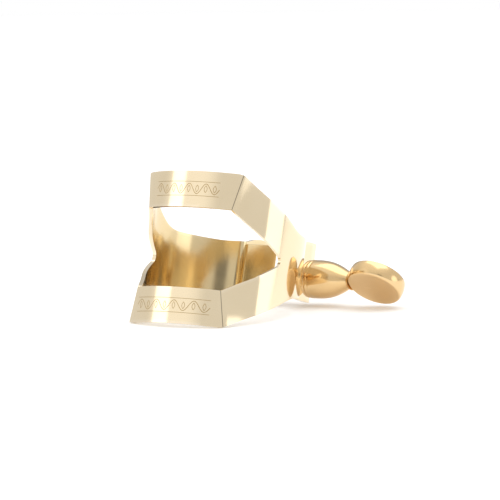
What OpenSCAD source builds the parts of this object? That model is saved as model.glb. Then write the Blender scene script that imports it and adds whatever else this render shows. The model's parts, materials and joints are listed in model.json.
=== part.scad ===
// Single-screw saxophone ligature, lying on its reed bands, its two ears and its thumbscrew.
// X runs along the screw, towards the thumb paddle. Z is up from the surface it lies on.
// The band is drawn upright about the bore axis, then leaned back until the ears touch down.

/* [Round body] */
// Radius of the mouthpiece and reed that the body closes on
bore_r = 13.4; // [13:0.1:13.5]
// Thickness of the sheet that the band is bent from
sheet_t = 0.7; // [0.6:0.1:0.8]

/* [Reed bands] */
// Height over both reed bands
band_h = 27; // [26:0.5:28]
// Height of the window between the two reed bands
window_h = 14.2; // [13:0.2:15]
// Half width of the reed bands at their creases
reed_half_w = 9.5; // [9:0.1:9.5]
// Radius of the reed bands' gentle bow
reed_bow_r = 21; // [20:1:26]
// Distance from the bore axis to the front of the bow
reed_front = 14.3; // [14.2:0.1:15]
// Radius of the notch where the window ends on each side
notch_r = 1.3; // [1:0.1:1.8]
// Distance from the bore axis forward to the notch's centre
notch_y = 3.9; // [3.5:0.1:5]

/* [Ears] */
// Distance from the middle plane to an ear's outer face
ear_x = 5.6; // [5:0.1:6]
// Distance from the bore axis to the ears' free edge
ear_tip_y = 20.4; // [20.2:0.1:21]
// Height of the ears above the middle of the band
ear_up = 7.4; // [6:0.1:8]
// Depth of the ears below the middle of the band
ear_down = 3.5; // [3.2:0.1:4]
// Radius on the outside of the bend between body and ear
ear_bend_r = 1; // [0.8:0.1:1.2]

// How far the back tongue reaches across the gap between the ears, past the middle plane
tongue_x = 1.6; // [0:0.1:3.5]

/* [Thumbscrew] */
// Distance from the bore axis to the screw axis
screw_y = 17.6; // [17.2:0.1:17.6]
// How far the screw axis lies above the middle of the band
screw_up = 0.5; // [0:0.1:1]
// Gap between the near ear and the washer, with the screw slack
washer_gap = 1.4; // [1.2:0.1:1.6]
// Radius over the screw's thread
spindle_r = 1.5; // [1.4:0.05:1.6]
// Length of the bell collar
collar_len = 8.5; // [8.3:0.1:8.8]
// Largest radius of the bell collar
collar_r = 3.5; // [3.3:0.1:3.6]
// Radius of the thumb paddle
paddle_r = 5.3; // [5.1:0.1:5.4]
// Thickness of the thumb paddle
paddle_t = 3; // [2.6:0.1:3.2]
// Angle that the paddle stands turned back from lying flat
paddle_turn = 41; // [30:1:50]

/* [Hidden] */
$fn = 96;

arc_steps = 30;       // straight steps along the half turn of the body
reach = 60;           // cutting bodies reach past the part
cut_skin = 0.03;      // sheet left inside the bore radius for the bore cylinder to take off
run_gap = 0.05;       // radial clearance between the spindle and what it turns in
face_gap = 0.02;      // axial clearance between washer and collar
ear_hole_gap = 0.25;  // radial clearance of the near ear's plain hole

body_r = bore_r + sheet_t;
top = band_h / 2;
win = window_h / 2;
neck_h = 5.8;         // half height of the body at its narrowest
bow_y = reed_bow_r - reed_front;
corner = [reed_half_w, bow_y - sqrt(pow(reed_bow_r, 2) - pow(reed_half_w, 2))];
// Direction from the bore axis to where the flat side leaves the round body
side_a = atan2(corner[1], corner[0]) + acos(body_r / norm(corner));
side_n = [cos(side_a), sin(side_a)];
side_t = [-sin(side_a), cos(side_a)];
bend = [ear_x + ear_bend_r,
        sqrt(pow(body_r + ear_bend_r, 2) - pow(ear_x + ear_bend_r, 2))];
bend_a = atan2(bend[1], bend[0]);

washer_x = ear_x + washer_gap;
washer_t = 0.6;
collar_x = washer_x + washer_t + face_gap;
collar_end = collar_x + collar_len;
neck_r = 1.5;
paddle_x = collar_end + paddle_r - 0.3;
rim_bulge_r = 4;      // radius of the paddle rim's bulge across its thickness
tongue_t = 0.5;
tongue_gap = 0.06;    // keeps the back tongue clear of the bore
boss_r = 2.2;
boss_flange_r = 3;
boss_flange_t = 1.8;
spindle_x0 = -9.2;
spindle_step_x = collar_x + 6;
spindle_end_x = collar_end + 1.8;
spindle_tail_r = 0.85;

// The part leans back until the ears' lower corners and the bands' lower corners are level
lean = atan((top - ear_down) / (ear_tip_y - corner[1]));
x_mid = (paddle_x + paddle_r - body_r) / 2;
y_front = -reed_front * cos(lean) - top * sin(lean);
y_back = ear_tip_y * cos(lean) + ear_up * sin(lean);
z_floor = -top * cos(lean) - corner[1] * sin(lean);

// Corner between the reed bow and the flat side, on the skin d inside the outer one
function crease(d) =
    let (c = [0, bow_y], h = body_r - d - c * side_n, r = reed_bow_r - d)
    c + h * side_n - sqrt(r * r - h * h) * side_t;

// Right half of the plan outline, on the skin d inside the outer one, from front to ear
function half_outline(d) =
    let (k = crease(d), half_bow = asin(k[0] / (reed_bow_r - d)))
    concat(
        [for (i = [0:8]) let (a = half_bow * i / 8)
            [(reed_bow_r - d) * sin(a), bow_y - (reed_bow_r - d) * cos(a)]],
        [for (i = [0:arc_steps]) let (a = side_a + (bend_a - side_a) * i / arc_steps)
            (body_r - d) * [cos(a), sin(a)]],
        [for (i = [1:6]) let (a = bend_a + 180 - bend_a * i / 6)
            bend + (ear_bend_r + d) * [cos(a), sin(a)]],
        [[ear_x - d, ear_tip_y]]);

function mirrored(p) = [for (i = [len(p) - 1:-1:1]) [-p[i][0], p[i][1]]];
function reversed(p) = [for (i = [len(p) - 1:-1:0]) p[i]];
function whole(p) = concat(mirrored(p), p);

module plan_outline() {
    polygon(concat(whole(half_outline(0)), reversed(whole(half_outline(sheet_t + cut_skin)))));
}

// Side view, drawn as [distance back, height]: sheet that is kept
module side_outline() {
    half = [[-reach, top], [corner[1], top], [-2.7, 8.2], [1.5, neck_h]];
    polygon(concat(half, [[12.5, neck_h], [17, ear_up], [reach, ear_up], [reach, -ear_down], [12, -ear_down]],
                   [for (i = [len(half) - 1:-1:0]) [half[i][0], -half[i][1]]]));
}

// Side view of the window: straight sides that run tangent into the round notch
module window_outline() {
    start = [corner[1] - 0.3, win];
    from_notch = start - [-notch_y, 0];
    touch_a = atan2(from_notch[1], from_notch[0]) - acos(notch_r / norm(from_notch));
    touch = [-notch_y + notch_r * cos(touch_a), notch_r * sin(touch_a)];
    polygon([[-reach, win], start, touch, [touch[0], -touch[1]], [start[0], -win], [-reach, -win]]);
    translate([-notch_y, 0]) circle(notch_r);
}

// Stands a side view on edge, so that it cuts right across the part
module across() {
    rotate([90, 0, 90]) linear_extrude(2 * reach, center = true) children();
}

// Puts a piece drawn along +Z, from the middle plane, on the screw axis
module on_screw_axis() {
    translate([0, screw_y, screw_up]) rotate([0, 90, 0]) children();
}

// Leans the upright part back and sets it down over the origin
module set_down() {
    translate([-x_mid, -(y_front + y_back) / 2, -z_floor]) rotate([-lean, 0, 0]) children();
}

module tube(r_out, r_in, from, to) {
    translate([0, 0, from]) difference() {
        cylinder(r = r_out, h = to - from);
        translate([0, 0, -1]) cylinder(r = r_in, h = to - from + 2);
    }
}

// Flat tongue behind the bore, from the far ear's root, that keeps the screw off the mouthpiece
module back_tongue() {
    translate([-ear_x + 0.2, bore_r + tongue_gap, -ear_down])
        cube([ear_x - 0.2 + tongue_x, tongue_t, ear_down + neck_h]);
}

module band() {
    color("#e3c98f") set_down() difference() {
        union() {
            intersection() {
                linear_extrude(2 * top, center = true) plan_outline();
                across() side_outline();
            }
            back_tongue();
        }
        across() window_outline();
        cylinder(r = bore_r, h = 2 * reach, center = true);
        on_screw_axis() cylinder(r = spindle_r + ear_hole_gap, h = reach);
        on_screw_axis() translate([0, 0, -reach]) cylinder(r = boss_r, h = reach);
    }
}

module threaded_boss() {
    color("#d9a95e") set_down() on_screw_axis() {
        tube(boss_flange_r, spindle_r + run_gap, -ear_x - boss_flange_t, -ear_x);
        tube(boss_r, spindle_r + run_gap, -ear_x - boss_flange_t, -ear_x + sheet_t);
    }
}

module thrust_washer() {
    color("#dcae68") set_down() on_screw_axis()
        tube(collar_r - 0.1, spindle_r + run_gap, washer_x, washer_x + washer_t);
}

module screw_spindle() {
    color("#c9a15a") set_down() on_screw_axis() {
        translate([0, 0, spindle_x0]) cylinder(r = spindle_r, h = spindle_step_x - spindle_x0);
        translate([0, 0, spindle_step_x - 1])
            cylinder(r = spindle_tail_r, h = spindle_end_x - spindle_step_x + 1);
    }
}

module bell_collar() {
    n = 14;
    // Bell: full at the ear, then rounded in to the neck
    bell = [for (i = [0:n]) let (t = i / n)
        [neck_r + (collar_r - neck_r) * cos(90 * pow(t, 1.35)), 0.9 + (collar_len - 1.4) * t]];
    color("#d8a45c") set_down() on_screw_axis() difference() {
        translate([0, 0, collar_x]) rotate_extrude()
            polygon(concat([[0, 0], [collar_r - 0.15, 0], [collar_r, 0.15]], bell,
                           [[neck_r, collar_len], [0, collar_len]]));
        cylinder(r = spindle_r, h = spindle_step_x);
        cylinder(r = spindle_tail_r, h = reach);
    }
}

module thumb_paddle() {
    color("#d39a55") set_down() on_screw_axis() difference() {
        translate([0, 0, paddle_x]) rotate([0, 0, 90 + lean - paddle_turn]) rotate([90, 0, 0])
            rotate_extrude() intersection() {
                translate([paddle_r - rim_bulge_r, 0]) circle(rim_bulge_r);
                translate([0, -paddle_t / 2]) square([paddle_r, paddle_t]);
            }
        cylinder(r = neck_r, h = collar_end);
        cylinder(r = spindle_tail_r, h = spindle_end_x);
    }
}

band();
threaded_boss();
thrust_washer();
screw_spindle();
bell_collar();
thumb_paddle();
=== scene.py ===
"""The looks of a single-screw saxophone ligature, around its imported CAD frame.

Lengths below are in millimetres in the band's own frame: x along the screw, v back from the bore
axis towards the ears, w up along the bore axis. place() turns them into the row frame, in metres.
"""

import json
import math

import bmesh
import bpy
from mathutils import Matrix, Vector


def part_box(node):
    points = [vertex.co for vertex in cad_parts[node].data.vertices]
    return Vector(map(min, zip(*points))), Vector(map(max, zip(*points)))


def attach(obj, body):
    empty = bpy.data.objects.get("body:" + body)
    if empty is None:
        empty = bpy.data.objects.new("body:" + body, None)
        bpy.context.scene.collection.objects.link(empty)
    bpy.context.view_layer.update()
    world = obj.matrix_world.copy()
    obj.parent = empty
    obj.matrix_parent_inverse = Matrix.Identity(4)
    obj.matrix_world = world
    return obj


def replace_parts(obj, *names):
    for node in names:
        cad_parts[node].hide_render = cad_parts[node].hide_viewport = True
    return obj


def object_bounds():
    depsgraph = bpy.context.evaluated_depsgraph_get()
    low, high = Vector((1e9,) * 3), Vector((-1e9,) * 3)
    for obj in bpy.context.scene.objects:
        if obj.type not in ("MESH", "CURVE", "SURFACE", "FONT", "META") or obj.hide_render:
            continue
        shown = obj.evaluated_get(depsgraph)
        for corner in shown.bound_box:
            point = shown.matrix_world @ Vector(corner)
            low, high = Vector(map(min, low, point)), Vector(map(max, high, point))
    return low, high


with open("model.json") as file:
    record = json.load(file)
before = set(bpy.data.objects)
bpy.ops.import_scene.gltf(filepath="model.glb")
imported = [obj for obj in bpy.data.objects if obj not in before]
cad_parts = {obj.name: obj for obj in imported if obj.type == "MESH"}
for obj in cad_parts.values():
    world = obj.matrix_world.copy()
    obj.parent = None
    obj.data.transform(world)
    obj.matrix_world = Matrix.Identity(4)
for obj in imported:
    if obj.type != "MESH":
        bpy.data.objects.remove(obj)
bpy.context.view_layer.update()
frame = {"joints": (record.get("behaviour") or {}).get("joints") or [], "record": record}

MM = 0.001
mount = frame["record"]["mounts"][0]
joints = {j["name"]: j for j in frame["joints"]}

BORE_R = mount["dims"]["r_mm"]
BORE = Vector(mount["pos_m"])
X_DIR = Vector((1, 0, 0))
W_DIR = Vector(mount["axis"]).normalized()
V_DIR = W_DIR.cross(X_DIR)
SCREW = Vector(joints["screw_turn"]["pos_m"])

# Band
SHEET = 0.7
BODY_R = BORE_R + SHEET
TOP = 13.5                # half height over both reed bands
WIN = 7.1                 # half height of the window
REED_FRONT = 14.3         # from the bore axis to the front of the reed bands' bow
BOW_R = 21.0
BOW_V = BOW_R - REED_FRONT
HALF_W_WIN = 8.95         # half width of the reed bands beside the window
HALF_W_TOP = 10.2         # and at their outer edges: the creases are mitred
NO_MITRE_W = 3.0          # below this height the creases' width no longer changes
CREASE_R = 0.8
NOTCH_V, NOTCH_R = -3.9, 1.3
NECK_H = 5.8
EAR_X, EAR_TIP_V, EAR_UP, EAR_DOWN = 5.6, 20.4, 7.4, 3.5
BEND_R = 1.0
BEND = (EAR_X + BEND_R, math.sqrt((BODY_R + BEND_R) ** 2 - (EAR_X + BEND_R) ** 2))
BEND_A = math.atan2(BEND[1], BEND[0])
EAR_HOLE_R, DRILL_REACH = 1.75, 12
EDGE_EASE = 1.6           # how far the kinks of the sheet's edges are rounded off
EDGE_ROUND = 0.11
TONGUE_X, TONGUE_T, TONGUE_GAP = 1.6, 0.5, 0.06
TONGUE_ROOT, TONGUE_INSET, TONGUE_ROUND = 0.45, 0.05, 0.12
STRIP_ROWS, TONGUE_STEPS = 10, 12

# Screw
PITCH, THREAD_DEPTH = 0.7, 0.36
SPINDLE_R = 1.5
TURNED_BORE_R = SPINDLE_R + 0.06
BOSS_SHANK_R = 2.2
NECK_R = 1.5
PADDLE_THICK, RIM_BULGE_R, PADDLE_CROWN = 3.0, 4.0, 0.12
PADDLE_TURN = math.radians(41)


def place(x, v, w):
    """A point of the band's own frame, in the row frame."""
    return BORE + (X_DIR * x + V_DIR * v + W_DIR * w) * MM


# ------------------------------------------------------------------ materials

WORN_PALER = (1.06, 1.08, 1.16)   # worn edges against the sheet's pale colour


def new_material(name):
    mat = bpy.data.materials.new(name)
    mat.use_nodes = True
    nodes, links = mat.node_tree.nodes, mat.node_tree.links
    return mat, nodes, links, nodes["Principled BSDF"]


def noise(nodes, links, coords, scale, detail=3.0, stretch=(1, 1, 1)):
    mapping = nodes.new("ShaderNodeMapping")
    mapping.inputs["Scale"].default_value = stretch
    links.new(coords.outputs["Object"], mapping.inputs["Vector"])
    tex = nodes.new("ShaderNodeTexNoise")
    tex.inputs["Scale"].default_value = scale
    tex.inputs["Detail"].default_value = detail
    links.new(mapping.outputs["Vector"], tex.inputs["Vector"])
    return tex


def ramp(nodes, links, source, stops):
    node = nodes.new("ShaderNodeValToRGB")
    node.color_ramp.elements[0].position = stops[0][0]
    node.color_ramp.elements[0].color = (*stops[0][1], 1)
    node.color_ramp.elements[1].position = stops[-1][0]
    node.color_ramp.elements[1].color = (*stops[-1][1], 1)
    for position, colour in stops[1:-1]:
        node.color_ramp.elements.new(position).color = (*colour, 1)
    links.new(source, node.inputs["Fac"])
    return node


def value_range(nodes, links, source, low, high):
    """Spreads a noise's middle values over low to high."""
    node = nodes.new("ShaderNodeMapRange")
    node.inputs["From Min"].default_value = 0.3
    node.inputs["From Max"].default_value = 0.7
    node.inputs["To Min"].default_value = low
    node.inputs["To Max"].default_value = high
    links.new(source, node.inputs["Value"])
    return node


def bump(nodes, links, height, strength, distance):
    node = nodes.new("ShaderNodeBump")
    node.inputs["Strength"].default_value = strength
    node.inputs["Distance"].default_value = distance
    links.new(height.outputs["Fac"], node.inputs["Height"])
    return node


def lacquered(name, pale, deep, rough, grain=(1, 1, 1), ripple=0.02, scratch=0.03, coat=0.35):
    """Polished brass under clear lacquer: cloudy colour, faint ripple, polishing lines, worn edges."""
    mat, nodes, links, bsdf = new_material(name)
    coords = nodes.new("ShaderNodeTexCoord")
    cloud = noise(nodes, links, coords, 170.0, 4.0)
    tint = ramp(nodes, links, cloud.outputs["Fac"], [(0.30, deep), (0.70, pale)])
    geometry = nodes.new("ShaderNodeNewGeometry")
    edge = ramp(nodes, links, geometry.outputs["Pointiness"],
                [(0.50, (0, 0, 0)), (0.62, (1, 1, 1))])
    worn = nodes.new("ShaderNodeMix")
    worn.data_type = "RGBA"
    worn.inputs["B"].default_value = (*(min(1, c * k) for c, k in zip(pale, WORN_PALER)), 1)
    links.new(edge.outputs["Color"], worn.inputs["Factor"])
    links.new(tint.outputs["Color"], worn.inputs["A"])
    links.new(worn.outputs["Result"], bsdf.inputs["Base Color"])
    smear = noise(nodes, links, coords, 420.0, 5.0, grain)
    roughness = value_range(nodes, links, smear.outputs["Fac"], *rough)
    links.new(roughness.outputs["Result"], bsdf.inputs["Roughness"])
    lines = noise(nodes, links, coords, 2600.0, 2.0, grain)
    swell = noise(nodes, links, coords, 90.0, 1.0)
    bump_lines = bump(nodes, links, lines, scratch, 0.00002)
    bump_swell = bump(nodes, links, swell, ripple, 0.0006)
    links.new(bump_lines.outputs["Normal"], bump_swell.inputs["Normal"])
    links.new(bump_swell.outputs["Normal"], bsdf.inputs["Normal"])
    bsdf.inputs["Metallic"].default_value = 1.0
    bsdf.inputs["Coat Weight"].default_value = coat
    bsdf.inputs["Coat Roughness"].default_value = 0.03
    bsdf.inputs["Coat IOR"].default_value = 1.5
    return mat


sheet_gold = lacquered("lacquered_sheet_gold", (0.88, 0.735, 0.505), (0.865, 0.715, 0.48),
                       rough=(0.07, 0.10), ripple=0.008, grain=(1, 1, 9))
# The inside's satin roughness is its own finish, but its deeper, more orange gold is painted: the shade
# and the brass-on-brass reflection inside the ring
shaded_inner_gold = lacquered("satin_inner_gold_painted_shade", (0.78, 0.62, 0.36), (0.75, 0.59, 0.33),
                       rough=(0.14, 0.19), ripple=0.008, scratch=0.012, coat=0.1)
rosy_gold = lacquered("lacquered_casting_gold", (0.81, 0.57, 0.29), (0.77, 0.53, 0.25),
                      rough=(0.15, 0.21), ripple=0.02, grain=(7, 1, 1))
thread_gold = lacquered("threaded_brass", (0.78, 0.56, 0.27), (0.68, 0.46, 0.20),
                        rough=(0.16, 0.28), scratch=0.10, coat=0.0)
engraved_gold = lacquered("engraved_line_gold", (0.42, 0.28, 0.11), (0.34, 0.21, 0.08),
                          rough=(0.25, 0.40), scratch=0.2, coat=0.0)


# ------------------------------------------------------------------ mesh helpers

def finish_mesh(name, bm, material, body, sharp=math.radians(32)):
    bmesh.ops.recalc_face_normals(bm, faces=bm.faces)
    mesh = bpy.data.meshes.new(name)
    bm.to_mesh(mesh)
    bm.free()
    for poly in mesh.polygons:
        poly.use_smooth = True
    if sharp:
        mesh.set_sharp_from_angle(angle=sharp)
    mesh.materials.append(material)
    obj = bpy.data.objects.new(name, mesh)
    bpy.context.scene.collection.objects.link(obj)
    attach(obj, body)
    return obj


def grid_faces(bm, a, b):
    """Quads between two runs of points. Returns the new faces."""
    return [bm.faces.new((a[i], b[i], b[i + 1], a[i + 1])) for i in range(len(a) - 1)]


def ring_faces(bm, a, b):
    """Quads between two closed rings of points."""
    for k in range(len(a)):
        j = (k + 1) % len(a)
        bm.faces.new((a[k], a[j], b[j], b[k]))


def wall_rims(bm, twin):
    """Joins the open edges of one skin to the same edges of its twin."""
    for e in [e for e in bm.edges if len(e.link_faces) == 1 and e.verts[0] in twin]:
        a, b = e.verts
        bm.faces.new((a, b, twin[b], twin[a]))


def apply_modifiers(obj):
    depsgraph = bpy.context.evaluated_depsgraph_get()
    mesh = bpy.data.meshes.new_from_object(obj.evaluated_get(depsgraph))
    obj.modifiers.clear()
    obj.data = mesh


def round_edges(obj, radius):
    soften = obj.modifiers.new("edge_round", "BEVEL")
    soften.width = radius * MM
    soften.segments = 3
    soften.limit_method = "ANGLE"
    soften.angle_limit = math.radians(50)
    soften.harden_normals = True
    soften.use_clamp_overlap = True
    apply_modifiers(obj)


def lathe(bm, profile, at, turns=96):
    """Turns the closed profile of (distance, radius) points about an axis; at(d, r, a) places it."""
    rings = []
    for d, r in profile:
        if r < 1e-6:
            rings.append([bm.verts.new(at(d, 0, 0))])
        else:
            rings.append([bm.verts.new(at(d, r, 2 * math.pi * i / turns)) for i in range(turns)])
    for ring, after in zip(rings, rings[1:] + rings[:1]):
        if len(ring) == 1 and len(after) == 1:
            continue
        for i in range(turns):
            j = (i + 1) % turns
            corners = [ring[i % len(ring)], ring[j % len(ring)],
                       after[j % len(after)], after[i % len(after)]]
            bm.faces.new(list(dict.fromkeys(corners)))


def rounded(points, radius, steps=4):
    """Rounds the corners of an open run of (d, r) points, keeping its two ends."""
    out = [points[0]]
    for before, here, after in zip(points, points[1:], points[2:]):
        a, b, c = Vector(before), Vector(here), Vector(after)
        reach = min(radius, (a - b).length * 0.45, (c - b).length * 0.45)
        start, end = b + (a - b).normalized() * reach, b + (c - b).normalized() * reach
        for i in range(steps + 1):
            t = i / steps
            p = start * (1 - t) ** 2 + b * 2 * t * (1 - t) + end * t * t
            out.append((p.x, p.y))
    out.append(points[-1])
    return out


def about_screw(d, r, a):
    """d along the screw axis, measured in the row frame from the bore's middle plane."""
    return Vector((BORE.x + d * MM, SCREW.y + r * math.cos(a) * MM, SCREW.z + r * math.sin(a) * MM))


def along_screw(node):
    """Where a turned node starts and ends along the screw axis, and its radius, in millimetres."""
    low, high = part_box(node)
    return (low.x - BORE.x) / MM, (high.x - BORE.x) / MM, (high.z - low.z) / 2 / MM


# ------------------------------------------------------------------ band

def half_width(w):
    """Half the width between the creases at height w."""
    return HALF_W_WIN + (HALF_W_TOP - HALF_W_WIN) * (max(abs(w), NO_MITRE_W) - WIN) / (TOP - WIN)


def corner_of(w):
    """Where the reed bow would meet the flat side at height w, with a sharp crease."""
    hw = half_width(w)
    return Vector((hw, BOW_V - math.sqrt(BOW_R ** 2 - hw ** 2)))


def side_angle(w):
    """Direction from the bore axis to where the flat side runs tangent into the round body."""
    c = corner_of(w)
    return math.atan2(c.y, c.x) + math.acos(BODY_R / c.length)


def unit(a):
    return Vector((math.cos(a), math.sin(a)))


CORNER_V = corner_of((TOP + WIN) / 2).y
WIN_START_V = CORNER_V - 0.3
FROM_NOTCH = Vector((WIN_START_V - NOTCH_V, WIN))
TOUCH_A = math.atan2(FROM_NOTCH.y, FROM_NOTCH.x) - math.acos(NOTCH_R / FROM_NOTCH.length)
TOUCH = (NOTCH_V + NOTCH_R * math.cos(TOUCH_A), NOTCH_R * math.sin(TOUCH_A))
NOTCH_TIP_V = NOTCH_V + NOTCH_R


def knots(v, points):
    """The height at v on straight runs between (v, height) points."""
    if v <= points[0][0]:
        return points[0][1]
    for (v0, h0), (v1, h1) in zip(points, points[1:]):
        if v <= v1:
            return h0 + (h1 - h0) * (v - v0) / (v1 - v0)
    return points[-1][1]


def eased(v, points):
    """The height at v, with the kinks behind the crease rounded off."""
    reach = max(0.0, min(EDGE_EASE, v - CORNER_V))
    return sum(knots(v + reach * s, points) for s in (-1, -0.5, 0, 0.5, 1)) / 5


ARM = [(CORNER_V, TOP), (-2.7, 8.2), (1.5, NECK_H)]


def top_edge(v):
    return eased(v, ARM + [(12.5, NECK_H), (17, EAR_UP)])


def bottom_edge(v):
    return -eased(v, ARM + [(12, EAR_DOWN)])


def window_edge(v):
    if v <= WIN_START_V:
        return WIN
    if v <= TOUCH[0]:
        return WIN + (TOUCH[1] - WIN) * (v - WIN_START_V) / (TOUCH[0] - WIN_START_V)
    return math.sqrt(max(0.0, NOTCH_R ** 2 - (v - NOTCH_V) ** 2))


def fillet_centre(w):
    """Centre of the crease's small bend: on both offset lines of the bow and the flat side."""
    n, t = unit(side_angle(w)), unit(side_angle(w) + math.pi / 2)
    c = Vector((0, BOW_V))
    h, r = BODY_R - CREASE_R - c.dot(n), BOW_R - CREASE_R
    return c + n * h - t * math.sqrt(r * r - h * h)


# Steps of each part of the half outline, front to ear
STEPS = {"face": 14, "crease": 4, "flat": 9, "arc": 8, "notch": 8, "back": 34, "bend": 9, "ear": 9}
BESIDE_WINDOW = ("face", "crease", "flat", "arc", "notch")


def stations():
    """Where the sheet is sampled along its half outline, as (kind, share of that part)."""
    return [(kind, i / steps) for kind, steps in STEPS.items() for i in range(steps)] + [("ear", 1.0)]


def outline(station, w, d=0.0):
    """Point of the half outline at height w, on the skin d inside the outer one."""
    kind, u = station
    if kind in ("face", "crease", "flat"):
        f, side = fillet_centre(w), side_angle(w)
        from_bow = f - Vector((0, BOW_V))
        face_end = math.atan2(from_bow.y, from_bow.x)
        if kind == "face":
            a = -math.pi / 2 + (face_end + math.pi / 2) * u
            return Vector((0, BOW_V)) + unit(a) * (BOW_R - d)
        if kind == "crease":
            return f + unit(face_end + (side - face_end) * u) * (CREASE_R - d)
        return (f + unit(side) * (CREASE_R - d)).lerp(unit(side) * (BODY_R - d), u)
    if kind == "arc":
        start, end = side_angle(w), math.asin(TOUCH[0] / BODY_R)
        return unit(start + (end - start) * u) * (BODY_R - d)
    if kind == "notch":
        v = NOTCH_V + NOTCH_R * math.cos(TOUCH_A * (1 - u))
        return unit(math.asin(v / BODY_R)) * (BODY_R - d)
    if kind == "back":
        start = math.asin(NOTCH_TIP_V / BODY_R)
        return unit(start + (BEND_A - start) * u) * (BODY_R - d)
    if kind == "bend":
        return Vector(BEND) + unit(BEND_A + math.pi - BEND_A * u) * (BEND_R + d)
    return Vector((EAR_X - d, BEND[1] + (EAR_TIP_V - BEND[1]) * u))


def edge_height(station, edge):
    """The height at which a station meets an edge, where the station's v depends on the height."""
    w = edge(outline(station, TOP).y)
    for _ in range(4):
        w = edge(outline(station, w).y)
    return w


def band_columns(d):
    """For each station of one half: the column of points from the bottom edge to the top edge."""
    columns = []
    for s in stations():
        low, high = edge_height(s, bottom_edge), edge_height(s, top_edge)
        slit = edge_height(s, window_edge) if s[0] in BESIDE_WINDOW else 0.0
        lower = [low + (-slit - low) * i / STRIP_ROWS for i in range(STRIP_ROWS + 1)]
        upper = [slit + (high - slit) * i / STRIP_ROWS for i in range(STRIP_ROWS + 1)]
        heights = (lower, upper) if slit > 1e-6 else (lower + upper[1:],)
        columns.append([[(outline(s, w, d), w) for w in run] for run in heights])
    return columns


def paired_runs(a, b):
    """The runs of two neighbouring columns, one of which may be split by the window."""
    if len(a) == len(b):
        return zip(a, b)
    split, (whole,) = (a, b) if len(a) > len(b) else (b, a)
    return zip(split, (whole[:STRIP_ROWS + 1], whole[STRIP_ROWS:]))


def make_band():
    bm = bmesh.new()
    skins = []
    for d in (0.0, SHEET):
        half = band_columns(d)
        right, left = ([[[bm.verts.new(place(side * p.x, p.y, w)) for p, w in run] for run in column]
                        for column in columns] for side, columns in ((1, half), (-1, half[1:])))
        skins.append(left[::-1] + right)
    for columns in skins:
        skin_faces = [f for a, b in zip(columns, columns[1:]) for p, q in paired_runs(a, b)
                      for f in grid_faces(bm, p, q)]
    wall_rims(bm, {v: w for outer, inner in zip(*skins) for a, b in zip(outer, inner)
                   for v, w in zip(a, b)})
    # The last skin made is the one that faces the bore, and it takes the inner gold with its painted
    # shade
    for f in skin_faces:
        f.material_index = 1
    # Holes for the screw, cut through both ears
    band = finish_mesh("band_sheet", bm, sheet_gold, "band", sharp=0)
    band.data.materials.append(shaded_inner_gold)
    drill = bmesh.new()
    lathe(drill, [(-DRILL_REACH, 0), (-DRILL_REACH, EAR_HOLE_R),
                  (DRILL_REACH, EAR_HOLE_R), (DRILL_REACH, 0)], about_screw, turns=64)
    bmesh.ops.recalc_face_normals(drill, faces=drill.faces)
    cutter_mesh = bpy.data.meshes.new("drill")
    drill.to_mesh(cutter_mesh)
    drill.free()
    cutter = bpy.data.objects.new("drill", cutter_mesh)
    bpy.context.scene.collection.objects.link(cutter)
    cut = band.modifiers.new("screw_holes", "BOOLEAN")
    cut.object, cut.operation, cut.solver = cutter, "DIFFERENCE", "EXACT"
    round_edges(band, EDGE_ROUND)
    bpy.data.objects.remove(cutter)
    return band


def make_tongue():
    """Flat tongue behind the bore, from the far ear's root, that hides the screw."""
    low = (-EAR_X + TONGUE_ROOT, BORE_R + TONGUE_GAP, -EAR_DOWN + TONGUE_INSET)
    high = (TONGUE_X, BORE_R + TONGUE_GAP + TONGUE_T, NECK_H - TONGUE_INSET)
    bm = bmesh.new()
    shares = [i / TONGUE_STEPS for i in range(TONGUE_STEPS + 1)]
    skins = [[[bm.verts.new(place(low[0] + (high[0] - low[0]) * i, v, low[2] + (high[2] - low[2]) * k))
               for k in shares] for i in shares] for v in (low[1], high[1])]
    for skin in skins:
        for a, b in zip(skin, skin[1:]):
            grid_faces(bm, a, b)
    wall_rims(bm, {v: w for a, b in zip(*skins) for v, w in zip(a, b)})
    # The tongue takes the inner gold too, with its painted shade and painted reflection
    tongue = finish_mesh("band_back_tongue", bm, shaded_inner_gold, "band", sharp=0)
    round_edges(tongue, TONGUE_ROUND)


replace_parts(make_band(), "band")
make_tongue()


# ------------------------------------------------------------------ frieze on the reed bands

WAVES, WAVE_STEPS, LEAF_STEPS = 4, 16, 8
FRIEZE_H = 2.5
BORDER_WIDTH, WAVE_WIDTH, LEAF_WIDTH = 0.11, 0.15, 0.12
STROKE_SUNK, STROKE_LIFT = -0.02, 0.012


def face_point(x, w, lift):
    """A point lift mm in front of the reed face."""
    a = math.asin(x / BOW_R)
    r = BOW_R + lift
    return place(r * math.sin(a), BOW_V - r * math.cos(a), w)


def stroke(bm, run, width):
    """A thin dark line along a run of (x, w) points on the reed face."""
    rails = ([], [], [], [])
    for i, (x, w) in enumerate(run):
        before, after = Vector(run[max(i - 1, 0)]), Vector(run[min(i + 1, len(run) - 1)])
        side = (after - before).normalized().orthogonal() * width / 2
        for rail, k in zip(rails, (1.0, 0.6, -0.6, -1.0)):
            lift = STROKE_SUNK if abs(k) == 1.0 else STROKE_LIFT
            rail.append(bm.verts.new(face_point(x + side.x * k, w + side.y * k, lift)))
    for a, b in zip(rails, rails[1:] + rails[:1]):
        for i in range(len(run) - 1):
            bm.faces.new((a[i], a[i + 1], b[i + 1], b[i]))
    for i in (0, -1):
        bm.faces.new([rail[i] for rail in rails])


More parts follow.
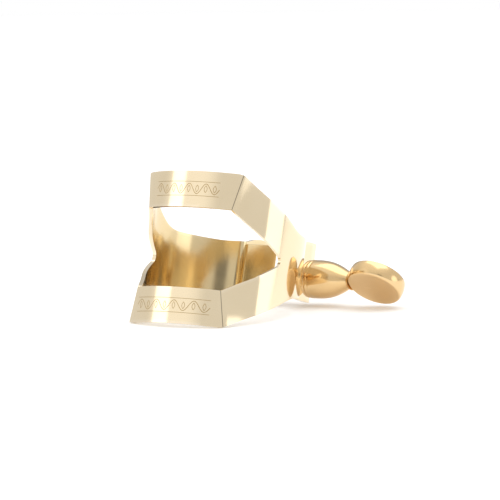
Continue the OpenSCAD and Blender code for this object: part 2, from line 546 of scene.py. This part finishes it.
def frieze(name, mid_w, x_from, x_to):
    """A generic running wave with a leaf in each hollow, between two border lines."""
    bm = bmesh.new()
    steps = WAVE_STEPS * WAVES
    xs = [x_from + (x_to - x_from) * i / steps for i in range(steps + 1)]
    wave = (x_to - x_from) / WAVES
    for sign in (-1, 1):
        stroke(bm, [(x, mid_w + sign * FRIEZE_H / 2) for x in xs], BORDER_WIDTH)
    stroke(bm, [(x, mid_w + 0.36 * FRIEZE_H * math.sin(2 * math.pi * (x - x_from) / wave)) for x in xs],
           WAVE_WIDTH)
    for k in range(2 * WAVES):
        # The hollow of each half wave, with a small leaf standing in it
        x, sign = x_from + wave * (k + 0.5) / 2, (1, -1)[k % 2]
        for turn in (-1, 1):
            stroke(bm, [(x + turn * 0.28 * math.sin(math.pi * t / LEAF_STEPS),
                         mid_w + sign * FRIEZE_H * (0.24 - 0.5 * t / LEAF_STEPS))
                        for t in range(LEAF_STEPS + 1)], LEAF_WIDTH)
    finish_mesh(name, bm, engraved_gold, "band")


frieze("upper_band_frieze", 10.35, -7.0, 6.4)
frieze("lower_band_frieze", -10.3, -8.0, 7.6)


# ------------------------------------------------------------------ screw and what turns on it

def make_spindle():
    start, end, _ = along_screw("screw_spindle")
    thread_end = along_screw("thrust_washer")[0] - 0.9
    around, per_turn = 48, 10
    root, plain = SPINDLE_R - THREAD_DEPTH, SPINDLE_R - 0.04
    bm = bmesh.new()

    def ring(d, radius):
        """A ring at d, with radius(a) round it."""
        angles = [2 * math.pi * k / around for k in range(around)]
        return [bm.verts.new(about_screw(d, radius(a), a)) for a in angles]

    def thread(d, a):
        phase = (d / PITCH + a / (2 * math.pi)) % 1.0
        tooth = min(1.0, max(0.0, 1.25 - abs(2 * phase - 1) * 1.5))
        fade = min(1.0, (d - start) / 0.7, (thread_end - d) / 0.5)
        return root + (SPINDLE_R - 0.01 - root) * tooth * max(0.0, fade)

    count = int((thread_end - start) / PITCH * per_turn)
    rings = []
    for i in range(count + 1):
        d = start + (thread_end - start) * i / count
        rings.append(ring(d, lambda a, d=d: thread(d, a)))
    for d, r in ((thread_end + 0.02, root), (thread_end + 0.25, plain), (end - 4, plain)):
        rings.append(ring(d, lambda a, r=r: r))
    for a, b in zip(rings, rings[1:]):
        ring_faces(bm, a, b)
    tip_rim = ring(start, lambda a: root * 0.82)
    ring_faces(bm, rings[0], tip_rim)
    bm.faces.new(tip_rim)
    bm.faces.new(rings[-1])
    return finish_mesh("spindle_thread", bm, thread_gold, "thumbscrew",
                       sharp=math.radians(50))


def make_boss():
    """Flanged bush with a countersunk mouth, and a narrow bead turned round its flange."""
    start, end, r_flange = along_screw("threaded_boss")
    flange_end = end - SHEET
    outside = rounded([(start, TURNED_BORE_R + 0.35), (start, r_flange), (flange_end, r_flange),
                       (flange_end, BOSS_SHANK_R), (end, BOSS_SHANK_R), (end, TURNED_BORE_R)], 0.22)
    bm = bmesh.new()
    lathe(bm, outside + [(start + 0.35, TURNED_BORE_R)], about_screw)
    boss = finish_mesh("threaded_boss_turned", bm, rosy_gold, "band")
    bead = bmesh.new()
    middle = (start + flange_end) / 2
    lathe(bead, [(middle - 0.28, r_flange - 0.02), (middle - 0.12, r_flange + 0.03),
                 (middle + 0.12, r_flange + 0.03), (middle + 0.28, r_flange - 0.02)], about_screw)
    finish_mesh("threaded_boss_bead", bead, rosy_gold, "band")
    return boss


def make_washer():
    start, end, r = along_screw("thrust_washer")
    bm = bmesh.new()
    lathe(bm, rounded([(start, TURNED_BORE_R), (start, r), (end, r), (end, TURNED_BORE_R)], 0.16),
          about_screw)
    return finish_mesh("thrust_washer_turned", bm, rosy_gold, "washer")


def make_bell():
    start, end, r = along_screw("bell_collar")
    steps = 26
    lip = 0.98                # length of the lip and the groove behind it
    curve = end - start - lip - 0.5
    skin = [(start, 1.0), (start, r - 0.3), (start + 0.08, r - 0.1), (start + 0.28, r), (start + 0.62, r),
            (start + 0.74, r - 0.07), (start + 0.86, r - 0.07), (start + lip, r)]
    skin += [(start + lip + curve * t, NECK_R + (r - NECK_R) * math.cos(math.pi / 2 * t ** 1.35))
             for t in (i / steps for i in range(1, steps + 1))]
    skin += [(end - 0.2, NECK_R + 0.06), (end, NECK_R + 0.22), (end, 1.0)]
    bm = bmesh.new()
    lathe(bm, skin, about_screw, turns=128)
    return finish_mesh("bell_collar_turned", bm, rosy_gold, "thumbscrew")


def make_paddle():
    low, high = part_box("thumb_paddle")
    r = (high.x - low.x) / 2 / MM
    middle = Vector(((high.x + low.x) / 2, SCREW.y, SCREW.z))
    # The disc holds the screw axis, and rises towards the front
    across_disc = Vector((0, -math.cos(PADDLE_TURN), math.sin(PADDLE_TURN)))
    normal = Vector((0, math.sin(PADDLE_TURN), math.cos(PADDLE_TURN)))

    def at(d, radius, a):
        return middle + (normal * d + (X_DIR * math.cos(a) + across_disc * math.sin(a)) * radius) * MM

    half = PADDLE_THICK / 2
    face_steps, rim_steps = 6, 14
    upper = [(half - PADDLE_CROWN * (i / face_steps) ** 2, (r - 0.55) * i / face_steps)
             for i in range(face_steps)]
    upper_edge = [(half - PADDLE_CROWN - 0.02, r - 0.52), (half - 0.22, r - 0.36)]
    heights = [(half - 0.32) * (1 - 2 * i / rim_steps) for i in range(rim_steps + 1)]
    rim = [(d, r - RIM_BULGE_R + math.sqrt(RIM_BULGE_R ** 2 - d ** 2)) for d in heights]
    lower_edge = [(-(half - 0.05), r - 0.36), (-half, r - 0.5)]
    lower = [(-half + 0.05 * (1 - i / face_steps), (r - 0.6) * i / face_steps)
             for i in range(face_steps, -1, -1)]
    bm = bmesh.new()
    lathe(bm, upper + upper_edge + rim + lower_edge + lower, at, turns=144)
    return finish_mesh("thumb_paddle_cast", bm, rosy_gold, "thumbscrew",
                       sharp=math.radians(60))


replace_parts(make_spindle(), "screw_spindle")
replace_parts(make_boss(), "threaded_boss")
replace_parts(make_washer(), "thrust_washer")
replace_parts(make_bell(), "bell_collar")
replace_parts(make_paddle(), "thumb_paddle")


# ------------------------------------------------------------------ floor, light and camera

FLOOR_HALF = 1.6          # metres
FLOOR_SLACK = 0.00001     # metres between the object's lowest point and the floor
STUDIO_LEVEL = 0.80


def make_floor():
    bm = bmesh.new()
    # The mitred lower corners stand a hair below the CAD's, and the floor stays under them
    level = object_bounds()[0][2] - FLOOR_SLACK
    bm.faces.new([bm.verts.new((x * FLOOR_HALF, y * FLOOR_HALF, level))
                  for x, y in ((-1, -1), (1, -1), (1, 1), (-1, 1))])
    mesh = bpy.data.meshes.new("floor")
    bm.to_mesh(mesh)
    bm.free()
    mat, nodes, links, bsdf = new_material("pale_floor")
    coords = nodes.new("ShaderNodeTexCoord")
    grain = noise(nodes, links, coords, 60.0, 3.0)
    tone = ramp(nodes, links, grain.outputs["Fac"],
                [(0.3, (0.93, 0.93, 0.93)), (0.7, (0.95, 0.95, 0.95))])
    links.new(tone.outputs["Color"], bsdf.inputs["Base Color"])
    # A back-lit table, so that the floor stays as white as the background
    bsdf.inputs["Emission Color"].default_value = (1, 1, 1, 1)
    bsdf.inputs["Emission Strength"].default_value = 0.19
    bsdf.inputs["Roughness"].default_value = 0.7
    bsdf.inputs["Specular IOR Level"].default_value = 0.1
    mesh.materials.append(mat)
    obj = bpy.data.objects.new("floor", mesh)
    bpy.context.scene.collection.objects.link(obj)


# Azimuth (0 in front of the reed, 90 along +X), elevation, inner and outer radius in degrees, gain
STUDIO_LOBES = [
    (-49, 16, 8.0, 11.0, 0.85),
    (-34, 20, 10.0, 34.0, 0.28),
    (108, 6, 13.0, 14.5, 0.85),
    (132, 0, 3.0, 8.0, -0.18),
    (40, 20, 6.0, 12.0, -0.55),
    (-150, 10, 15.0, 45.0, -0.30),
    (0, 88, 25.0, 60.0, 0.25),
]


def make_world():
    """A studio by direction: a bright tent with soft boxes, and dimmer zones that shape the metal."""
    world = bpy.data.worlds.new("studio")
    bpy.context.scene.world = world
    world.use_nodes = True
    nodes, links = world.node_tree.nodes, world.node_tree.links
    background = nodes["Background"]
    coords = nodes.new("ShaderNodeTexCoord")

    def math_node(operation, *values):
        node = nodes.new("ShaderNodeMath")
        node.operation = operation
        for socket, value in zip(node.inputs, values):
            if hasattr(value, "is_output"):
                links.new(value, socket)
            else:
                socket.default_value = value
        return node.outputs[0]

    def lobe(azimuth, elevation, inner, outer):
        """1 within inner degrees of a direction, falling smoothly to 0 at outer degrees."""
        az, el = math.radians(azimuth), math.radians(elevation)
        aim = (math.sin(az) * math.cos(el), -math.cos(az) * math.cos(el), math.sin(el))
        dot = nodes.new("ShaderNodeVectorMath")
        dot.operation = "DOT_PRODUCT"
        links.new(coords.outputs["Generated"], dot.inputs[0])
        dot.inputs[1].default_value = aim
        smooth = nodes.new("ShaderNodeMapRange")
        smooth.interpolation_type = "SMOOTHSTEP"
        smooth.inputs["From Min"].default_value = math.cos(math.radians(outer))
        smooth.inputs["From Max"].default_value = math.cos(math.radians(inner))
        links.new(dot.outputs["Value"], smooth.inputs["Value"])
        return smooth.outputs["Result"]

    total = STUDIO_LEVEL
    for azimuth, elevation, inner, outer, gain in STUDIO_LOBES:
        total = math_node("MULTIPLY_ADD", lobe(azimuth, elevation, inner, outer), gain, total)
    total = math_node("MAXIMUM", total, 0.02)
    path = nodes.new("ShaderNodeLightPath")
    # The camera itself sees a plain white background
    seen = nodes.new("ShaderNodeMix")
    seen.data_type = "FLOAT"
    links.new(path.outputs["Is Camera Ray"], seen.inputs["Factor"])
    links.new(total, seen.inputs["A"])
    seen.inputs["B"].default_value = 1.0
    links.new(seen.outputs["Result"], background.inputs["Strength"])
    background.inputs["Color"].default_value = (1, 1, 1, 1)


def area_light(name, position, size, power):
    """A rectangular soft box, aimed at the object's middle."""
    data = bpy.data.lights.new(name, "AREA")
    data.shape, data.size, data.size_y = "RECTANGLE", size[0], size[1]
    data.energy = power
    obj = bpy.data.objects.new(name, data)
    obj.location = position
    obj.rotation_euler = (Vector((0, 0, 0.012)) - Vector(position)).to_track_quat("-Z", "Y").to_euler()
    bpy.context.scene.collection.objects.link(obj)


def make_camera():
    azimuth, elevation, roll = math.radians(34.58), math.radians(6.05), math.radians(-1.86)
    # From the bore's middle, in millimetres, along the camera's own axes
    distance, aside, above = 537.3, 4.663, 2.115
    pixels_focal, frame_pixels, sensor = 3022.7, 500.0, 36.0
    back = Vector((math.sin(azimuth) * math.cos(elevation), -math.cos(azimuth) * math.cos(elevation),
                   math.sin(elevation)))
    right0 = Vector((math.cos(azimuth), math.sin(azimuth), 0))
    up0 = back.cross(right0)
    right = right0 * math.cos(roll) + up0 * math.sin(roll)
    up = up0 * math.cos(roll) - right0 * math.sin(roll)
    data = bpy.data.cameras.new("camera")
    data.sensor_width = sensor
    data.lens = sensor * pixels_focal / frame_pixels
    data.clip_start, data.clip_end = 0.01, 20
    obj = bpy.data.objects.new("camera", data)
    position = BORE + (back * distance + right * aside + up * above) * MM
    obj.matrix_world = Matrix((
        (right.x, up.x, back.x, position.x),
        (right.y, up.y, back.y, position.y),
        (right.z, up.z, back.z, position.z),
        (0, 0, 0, 1)))
    bpy.context.scene.collection.objects.link(obj)
    bpy.context.scene.camera = obj


make_floor()
make_world()
area_light("overhead_softbox", (0.05, 0.10, 0.60), (0.7, 0.5), 1.2)
make_camera()
bpy.context.scene.view_settings.view_transform = "Standard"
